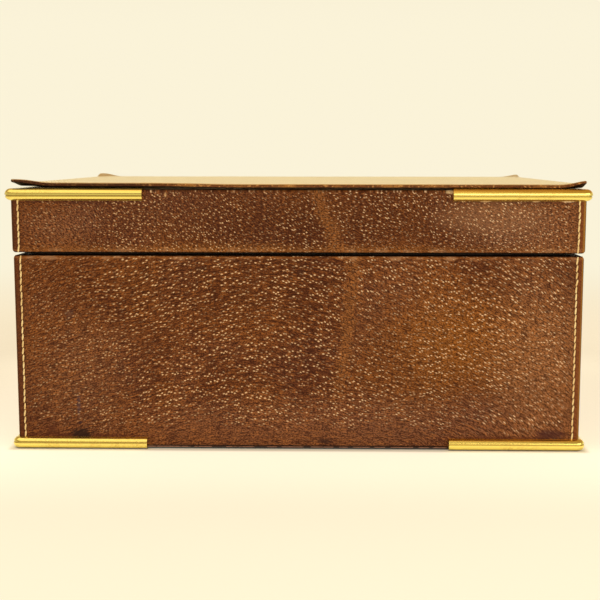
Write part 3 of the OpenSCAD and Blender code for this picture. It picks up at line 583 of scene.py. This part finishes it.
# For each side: its direction along and inwards, half its length, its distance from the
# middle, the part of the hide it was cut from, and the rows' lean and bend on body and lid
SIDES = {
    "front": ((1, 0, 0), (0, 1, 0), half_w, half_d, (0, 0), (0.10, 0.0038), (0.32, 0.0006)),
    "right": ((0, 1, 0), (-1, 0, 0), half_d, half_w, (310, 40), (0.35, -0.0020), (0.30, 0.0010)),
    "back": ((-1, 0, 0), (0, -1, 0), half_w, half_d, (660, 190), (-0.10, 0.0026), (0.05, 0.0012)),
    "left": ((0, -1, 0), (1, 0, 0), half_d, half_w, (1040, -80), (-0.25, 0.0030), (-0.2, 0.0)),
}
for side, (along, inwards, seam, start, shift, body_rows, lid_rows) in SIDES.items():
    for part, turn, rows in (("body", 1, body_rows), ("lid", -1, lid_rows)):
        # Past the rim the height goes on inwards, up on the body and down on the lid, as if
        # the turned-in edge were unrolled
        across = (turn * inwards[0], turn * inwards[1], 1)
        unrolled = turn * start
        if part == "body":
            rim_z = body_box[1][2]
            looks = {"foot": (SMOOTH_BELOW, body_box[0][2])}
        else:
            rim_z = lid_box[0][2]
            looks = dict(LID_GRAIN)
        rim = (rim_z - unrolled, turn, *RIM_SHADE_AND_SHINE[part])
        looks["show"] = OTHER_SHOW
        if side == "front":
            looks["show"] = FRONT_SHOW
            looks["tones"] = [(u, z - unrolled, *rest) for u, z, *rest in FRONT_TONES]
            looks["stains"] = [(u, z - unrolled, *rest) for u, z, *rest in FRONT_STAINS_AND_PAINTED_LIGHT]
            looks["scar"] = FRONT_SCARS[part]
        name = f"pigskin_{part}_{side}"
        skin = pigskin(name, along, across, shift, *rows, seam=seam, rim=rim, **looks)
        dress(f"{part}_leather_{side}", skin)


# The stitching up each corner: waxed linen thread, one slanting stitch after another,
# sunk a little into the leather.
def linen():
    material, tree, shader = link_material("linen_thread")
    place = add(tree, "ShaderNodeTexCoord", {}).outputs["Object"]
    twist = texture_noise(tree, place, 2600.0, 2.0)
    worn = fade(tree, texture_noise(tree, place, 190.0, 2.0), 0.35, 0.7)
    colour = blend_colours(tree, worn, paint(228, 192, 126), paint(250, 226, 166))
    colour = tint(tree, colour, twist, 0.62, 0.4, 0.35, paint(140, 96, 52))
    tree.links.new(colour, shader.inputs["Base Color"])
    bump_up(tree, shader, twist, 0.5, 0.0001)
    shader.inputs["Roughness"].default_value = 0.62
    return material


STITCH_PITCH = 0.00368
STITCH_HALVES = (0.000625, 0.0005, 0.0026)  # half its width, thickness and length
STITCH_PROUD = 0.0001  # from the hide's face to the thread's middle
ROW_END = 0.0008  # from each rim to the first stitch
LID_PROUD = 0.0004  # how much further out the lid's leather stands
SLANT, SLANT_WOBBLE = 7, 9  # degrees
SEAM_WOBBLE = 0.00032
linen_thread = linen()


def add_stitch(mesh, place, outwards, slant):
    """One stitch at place, on the side that faces outwards, turned from upright by slant."""
    run = Vector((0, 0, 1))
    turned = Matrix((outwards.cross(run), run, outwards)).transposed().to_4x4()
    bmesh.ops.create_uvsphere(
        mesh,
        u_segments=8,
        v_segments=6,
        radius=1,
        matrix=Matrix.Translation(place)
        @ turned
        @ Matrix.Rotation(slant, 4, "Z")
        @ Matrix.Rotation(math.radians(90), 4, "X")
        @ Matrix.Diagonal((*STITCH_HALVES, 1)),
    )


def finish_piece(name, mesh, material, body):
    data = bpy.data.meshes.new(name)
    bmesh.ops.recalc_face_normals(mesh, faces=mesh.faces)
    for face in mesh.faces:
        face.smooth = True
    mesh.to_mesh(data)
    mesh.free()
    piece = bpy.data.objects.new(name, data)
    bpy.context.scene.collection.objects.link(piece)
    data.materials.append(material)
    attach(piece, body)
    return piece


for part, body, box, proud in (
    ("body", "case", body_box, 0.0),
    ("lid", "lid", lid_box, LID_PROUD),
):
    mesh = bmesh.new()
    wide, deep = half_w + proud, half_d + proud
    low, high = box[0][2] + ROW_END, box[1][2] - ROW_END
    count = round((high - low) / STITCH_PITCH)
    nearest_joint = count - 1 if part == "body" else 0
    for step in range(count):
        z = low + (step + 0.5) * (high - low) / count
        for corner_x, corner_y in ((-1, -1), (-1, 1), (1, -1), (1, 1)):
            if corner_y == 1 and step == nearest_joint:
                continue  # at the back the two rims come together when the lid opens
            wobble = noise.noise(Vector((step * 3.7, corner_x * 1.4, corner_y * 1.4)))
            slant = math.radians(SLANT + SLANT_WOBBLE * wobble)
            astray = wobble * SEAM_WOBBLE
            x = corner_x * (wide - STITCH_INSET + astray)
            y = corner_y * (deep + STITCH_PROUD)
            add_stitch(mesh, Vector((x, y, z)), Vector((0, corner_y, 0)), slant)
            x = corner_x * (wide + STITCH_PROUD)
            y = corner_y * (deep - STITCH_INSET + astray)
            add_stitch(mesh, Vector((x, y, z)), Vector((corner_x, 0, 0)), slant)
    corner_stitches = finish_piece(f"{part}_corner_stitches", mesh, linen_thread, body)


# The leather under the base: one flat piece of plain hide, glued on before the
# mouldings. Only its cut edge shows, as a thin pinkish line.
material, tree, shader = link_material("plain_hide")
place = add(tree, "ShaderNodeTexCoord", {}).outputs["Object"]
nap = texture_noise(tree, place, 420.0, 4.0)
wear = fade(tree, texture_noise(tree, place, 14.0, 3.0), 0.35, 0.7)
colour = blend_colours(tree, wear, paint(150, 104, 82), paint(186, 140, 116))
colour = tint(tree, colour, nap, 0.6, 0.35, 0.4, paint(110, 70, 52))
stretched = add(tree, "ShaderNodeMapping", {"Vector": place, "Scale": (130, 130, 20)}).outputs[0]
soiled = texture_noise(tree, stretched, 1.0, 2.0)
colour = tint(tree, colour, soiled, 0.50, 0.56, 0.9, paint(34, 18, 13))
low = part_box("base_leather")[0][2]
z = split(tree, place)[2]
# Painted shade: dark along its lowest edge, a painted shadow line where it stands over the floor
colour = tint(tree, colour, z, low + 0.0006, low + 0.0003, 1.0, paint(22, 12, 9))
tree.links.new(colour, shader.inputs["Base Color"])
bump_up(tree, shader, nap, 0.4, 0.0002)
shader.inputs["Roughness"].default_value = 0.75
dress("base_leather", material)


# The top sheet: one piece of thick pigskin, glued down in the middle and loose at its
# rounded edges, where its corners have curled up.
sheet_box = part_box("top_sheet")
SHEET_W = sheet_box[1][0] - sheet_box[0][0]
SHEET_D = sheet_box[1][1] - sheet_box[0][1]
SHEET_T = 0.0021
SHEET_UNDER = sheet_box[0][2]
SHEET_GAP = 0.00003  # keeps it clear of the board
SHEET_CORNER_R = 0.003
CUT_EDGE_R = 0.0007
TIP_T, TIP_REACH = 0.78, 0.012  # how thin its tips are worn, and how far in
WAVE_HEIGHT, WAVE_RATE = 0.00009, 28  # and how many there are in a metre
WAVY_FROM, WAVY_OVER = 0.8, 0.2  # parts of the way from its middle to its edge
FRONT_LIFT = 0.0006
LIFT_FROM, LIFT_OVER = 0.4, 0.6  # parts of the way from its middle to its front edge
LIFT_LEFT_OF, LIFT_RAMP = -0.026, 0.05  # where it begins, and how far it takes to rise
GRID = (150, 116)
CROWDED = 0.38  # how much closer the grid's lines stand near the edges
# Each corner: the way it lies, its lift, how far in it curls, and how level its tip is
CURLS = (
    (-1, -1, 0.0023, 0.0230, 1.00),
    (1, -1, 0.0029, 0.0145, 0.80),
    (1, 1, 0.0026, 0.0140, 0.80),
    (-1, 1, 0.0027, 0.0160, 1.15),
)


def ease(t):
    t = min(max(t, 0.0), 1.0)
    return t * t * (3 - 2 * t)


def sheet_lift(x, y):
    """How far the sheet has come up from the board: slight waves along its front and back
    edges, a longer lift of the front edge on the left, and the curl of each corner."""
    from_middle = y / (SHEET_D / 2)
    waves = WAVE_HEIGHT * noise.noise(Vector((x * WAVE_RATE, y * WAVE_RATE, 0.3)))
    lift = waves * ease((abs(from_middle) - WAVY_FROM) / WAVY_OVER) + SHEET_GAP
    forwards = ease((-from_middle - LIFT_FROM) / LIFT_OVER)
    lift += FRONT_LIFT * ease((LIFT_LEFT_OF - x) / LIFT_RAMP) * forwards
    for side_x, side_y, rise, reach, settle in CURLS:
        away = SHEET_W / 2 - side_x * x + SHEET_D / 2 - side_y * y
        lift += rise * ease(settle * (1 - away / reach)) / ease(settle)
    return lift


def crowd(t):
    return (1 - CROWDED) * t + CROWDED * math.sin(t * math.pi / 2)


mesh = bmesh.new()
bmesh.ops.create_grid(mesh, x_segments=GRID[0], y_segments=GRID[1], size=1)
for vertex in mesh.verts:
    x = crowd(vertex.co.x) * SHEET_W / 2
    y = crowd(vertex.co.y) * SHEET_D / 2
    from_edge = SHEET_D / 2 - abs(y)
    if from_edge < SHEET_CORNER_R:
        round_part = SHEET_CORNER_R**2 - (SHEET_CORNER_R - from_edge) ** 2
        drawn_in = SHEET_CORNER_R - math.sqrt(max(round_part, 0))
        x *= 1 - 2 * drawn_in / SHEET_W
    vertex.co = (x, y, SHEET_UNDER + sheet_lift(x, y))
top = bmesh.ops.extrude_face_region(mesh, geom=mesh.faces[:])["geom"]
for vertex in [part for part in top if isinstance(part, bmesh.types.BMVert)]:
    x, y = vertex.co.x, vertex.co.y
    from_tip = abs(SHEET_W / 2 - abs(x)) + abs(SHEET_D / 2 - abs(y))
    vertex.co.z += SHEET_T * (TIP_T + (1 - TIP_T) * ease(from_tip / TIP_REACH))
bmesh.ops.recalc_face_normals(mesh, faces=mesh.faces)
SHARP = math.radians(55)
sharp_edges = []
for edge in mesh.edges:
    if len(edge.link_faces) == 2 and edge.calc_face_angle() > SHARP:
        sharp_edges.append(edge)
bmesh.ops.bevel(
    mesh,
    geom=sharp_edges,
    offset=CUT_EDGE_R,
    offset_type="OFFSET",
    affect="EDGES",
    segments=3,
    profile=0.5,
    material=-1,
)
GRAIN_SLOT, EDGE_SLOT = 0, 1  # the order of its materials
for face in mesh.faces:
    face.material_index = GRAIN_SLOT if face.normal.z > 0.6 else EDGE_SLOT

# Its grain side is bleached and waxed, and shines golden where the light grazes it
grain_side = pigskin(
    "pigskin_top",
    along=(1, 0, 0),
    across=(0, 1, 0),
    shift=(1500, 600),
    lean=0.15,
    bend=0.001,
    show=(0.8, 0.8),
    bleached=0.7,
)
shader = grain_side.node_tree.nodes["Principled BSDF"]
shader.inputs["Specular IOR Level"].default_value = 0.5
shader.inputs["Coat Weight"].default_value = 0.7
shader.inputs["Coat Roughness"].default_value = 0.3
shader.inputs["Sheen Weight"].default_value = 0.75
shader.inputs["Sheen Roughness"].default_value = 0.35
shader.inputs["Sheen Tint"].default_value = (1.0, 0.88, 0.54, 1)

# Its cut edge and flesh side are rough and brown. Painted shade darkens the edge on the
# left, where the sheet lifts, and whatever faces downwards
cut_edge, tree, shader = link_material("cut_edge")
place = add(tree, "ShaderNodeTexCoord", {}).outputs["Object"]
nap = texture_noise(tree, place, 600.0, 3.0)
worn = texture_noise(tree, place, 60.0, 3.0)
raw = blend_colours(tree, nap, paint(74, 36, 10), paint(124, 72, 28))
raw = tint(tree, raw, worn, 0.50, 0.70, 0.6, paint(176, 122, 60))
flecks = texture_noise(tree, place, 850.0, 1.0)
raw = tint(tree, raw, flecks, 0.56, 0.68, 0.75, paint(200, 146, 84))
raw = tint(tree, raw, flecks, 0.44, 0.34, 0.5, paint(48, 22, 8))
# Painted shade on the left, where the lifted edge shows its shaded underside
left_shade = calc(tree, "MULTIPLY_ADD", worn, 0.04, split(tree, place)[0])
raw = tint(tree, raw, left_shade, -0.035, -0.075, 0.75, paint(46, 20, 8))
# Painted shade on what faces downwards
facing = add(tree, "ShaderNodeNewGeometry", {}).outputs["Normal"]
raw = tint(tree, raw, split(tree, facing)[2], -0.2, -0.7, 1.0, paint(28, 13, 7))
tree.links.new(raw, shader.inputs["Base Color"])
bump_up(tree, shader, nap, 0.5, 0.0002)
shader.inputs["Roughness"].default_value = 0.6
shader.inputs["Specular IOR Level"].default_value = 0.12

top_leather = finish_piece("top_leather", mesh, grain_side, "lid")
top_leather.data.materials.append(cut_edge)
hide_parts("top_sheet")


# The brass mouldings: drawn half round strip with a groove, bent round each corner,
# polished, lacquered, and screwed on through a flange that the leather hides. Dirt has
# stayed in the grooves. Also painted on: painted shade along the base mouldings' foot, a
# dark painted reflection above the lid mouldings' groove, and amber painted reflections of
# the brown leather along the tops, more to the right.
def brass(name, bright, dull, rough, streak, grooves_and_shade=(), amber_reflections=()):
    """Brass with a little tarnish. streak is how often the drawing marks repeat in a metre
    along x, y and z. grooves are the dark bands: dirt in each groove, and painted shade and
    a dark painted reflection beside them. ambers are the bands of amber painted reflection
    of the leather, more to the right. Each has its height, half its width and its strength."""
    material, tree, shader = link_material(name)
    place = add(tree, "ShaderNodeTexCoord", {}).outputs["Object"]
    cloud = texture_noise(tree, place, 55.0, 4.0)
    specks = texture_noise(tree, place, 900.0, 2.0)
    tarnish = calc(tree, "MULTIPLY_ADD", specks, 0.35, calc(tree, "MULTIPLY", cloud, 0.65))
    colour = tint(tree, bright, tarnish, 0.52, 0.72, 0.6, dull)
    x, _, z = split(tree, place)
    # Dark bands: dirt in each groove, and painted shade and a painted reflection
    for groove, wide, deep in grooves_and_shade:
        off = calc(tree, "ABSOLUTE", calc(tree, "SUBTRACT", z, groove))
        colour = tint(tree, colour, off, wide, wide * 0.4, deep, (0.16, 0.07, 0.015, 1))
    # Amber painted reflections of the brown leather, more to the right
    for height, wide, deep in amber_reflections:
        off = calc(tree, "ABSOLUTE", calc(tree, "SUBTRACT", z, height))
        reflected_amber = fade(tree, off, wide, wide * 0.3, 0.0, deep)
        reflected_amber = calc(tree, "MULTIPLY", reflected_amber, fade(tree, x, -0.14, 0.0, 0.2, 1.0))
        colour = blend_colours(tree, reflected_amber, colour, (0.98, 0.46, 0.03, 1))
    tree.links.new(colour, shader.inputs["Base Color"])
    shader.inputs["Metallic"].default_value = 1.0
    drawn = add(tree, "ShaderNodeMapping", {"Vector": place, "Scale": streak}).outputs[0]
    lines = texture_noise(tree, drawn, 1.0, 3.0)
    mixed = calc(tree, "MULTIPLY_ADD", fade(tree, tarnish, 0.45, 0.75), 0.18, rough)
    tree.links.new(calc(tree, "MULTIPLY_ADD", lines, 0.08, mixed), shader.inputs["Roughness"])
    bump_up(tree, shader, lines, 0.10, 0.00005)
    return material


base_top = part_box("base_trim_front_left")[1][2]
lid_low, lid_top = (corner[2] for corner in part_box("lid_trim_front_left"))
GROOVE_FROM_EDGE = 0.0025  # each moulding's groove, from its edge beside the hide
grooves_and_shade = (
    (base_top - GROOVE_FROM_EDGE, 0.0005, 0.55),
    (lid_low + GROOVE_FROM_EDGE, 0.0005, 0.55),
    # A dark painted reflection just above the lid mouldings' groove
    (lid_low + GROOVE_FROM_EDGE + 0.0007, 0.0011, 0.3),
    # Painted shade along the base mouldings' foot, where they meet the floor
    (0.0, 0.0011, 0.96),
)
# Amber painted reflections of the brown leather along the tops of the mouldings
amber_reflections = ((lid_top, 0.0026, 0.75), (base_top, 0.0016, 0.5))
polished_brass = brass(
    "polished_brass",
    bright=(0.94, 0.785, 0.21, 1),
    dull=(0.66, 0.42, 0.09, 1),
    rough=0.11,
    streak=(120, 120, 3000),
    grooves_and_shade=grooves_and_shade,
    amber_reflections=amber_reflections,
)
satin_brass = brass(
    "satin_brass",
    bright=(0.82, 0.58, 0.19, 1),
    dull=(0.50, 0.31, 0.09, 1),
    rough=0.26,
    streak=(200, 2200, 2200),
)
screw_brass = brass(
    "screw_brass",
    bright=(0.76, 0.52, 0.17, 1),
    dull=(0.42, 0.25, 0.08, 1),
    rough=0.24,
    streak=(1500, 1500, 1500),
)
for part in ("base", "lid"):
    for corner in ("front_left", "front_right", "back_right", "back_left"):
        dress(f"{part}_trim_{corner}", polished_brass)
    dress(f"{part}_trim_screws", screw_brass)


# The stop hinges: cast brass leaves let into both rims at the back and screwed down,
# with bevelled lugs that meet when the lid stands open.
for side in ("left", "right"):
    dress(f"hinge_{side}_body_leaf", satin_brass)
    dress(f"hinge_{side}_lid_leaf", satin_brass)
dress("hinge_pins", screw_brass)
dress("hinge_body_screws", screw_brass)
dress("hinge_lid_screws", screw_brass)


# The cedar lining and the tray: thin planed boards, unvarnished so that they give off
# their scent. Those that line the body stand above its rim as a lip that seals the lid.
cedar_dark, cedar_light = (0.30, 0.115, 0.052, 1), (0.50, 0.235, 0.118, 1)
cedar_across = wood("cedar_across", cedar_dark, cedar_light, ALONG_X, (2, 9, 5))
cedar_along = wood("cedar_along", cedar_dark, cedar_light, ALONG_Y, (8, 3, 1))
# The lip's outside is painted dark just above the body's rim: painted shade of the gap between lid
# and body
lip_foot = (-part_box("liner_left")[0][0], -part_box("liner_front")[0][1], body_box[1][2])
lip_across = wood("cedar_lip_across", cedar_dark, cedar_light, ALONG_X, (2, 9, 5), lip_foot)
lip_along = wood("cedar_lip_along", cedar_dark, cedar_light, ALONG_Y, (8, 3, 1), lip_foot)
for part, across, along in (
    ("liner", lip_across, lip_along),
    ("lid_liner", cedar_across, cedar_along),
    ("tray", cedar_across, cedar_along),
):
    for side in ("front", "back"):
        dress(f"{part}_{side}", across)
    for side in ("left", "right"):
        dress(f"{part}_{side}", along)
dress("liner_floor", cedar_across)
dress("lid_ceiling", cedar_across)
dress("tray_rests", cedar_along)
dress("tray_floor", cedar_across)
dress("tray_divider", cedar_along)


# The humidifier: a sheet brass case with a pierced grille and a sliding shutter, over
# a block of open-celled foam that holds the water.
dress("humidifier_case", satin_brass)
dress("humidifier_grille", polished_brass)
dress("humidifier_shutter", satin_brass)
dress("humidifier_screws", screw_brass)
material, tree, shader = link_material("foam")
place = add(tree, "ShaderNodeTexCoord", {}).outputs["Object"]
feeds = {"Vector": place, "Scale": 900.0}
cells = add(tree, "ShaderNodeTexVoronoi", feeds, feature="F1").outputs["Distance"]
colour = blend_colours(tree, fade(tree, cells, 0.2, 0.6), paint(120, 104, 62), paint(222, 204, 150))
tree.links.new(colour, shader.inputs["Base Color"])
bump_up(tree, shader, cells, 0.9, 0.0006)
shader.inputs["Roughness"].default_value = 0.9
dress("humidifier_sponge", material)
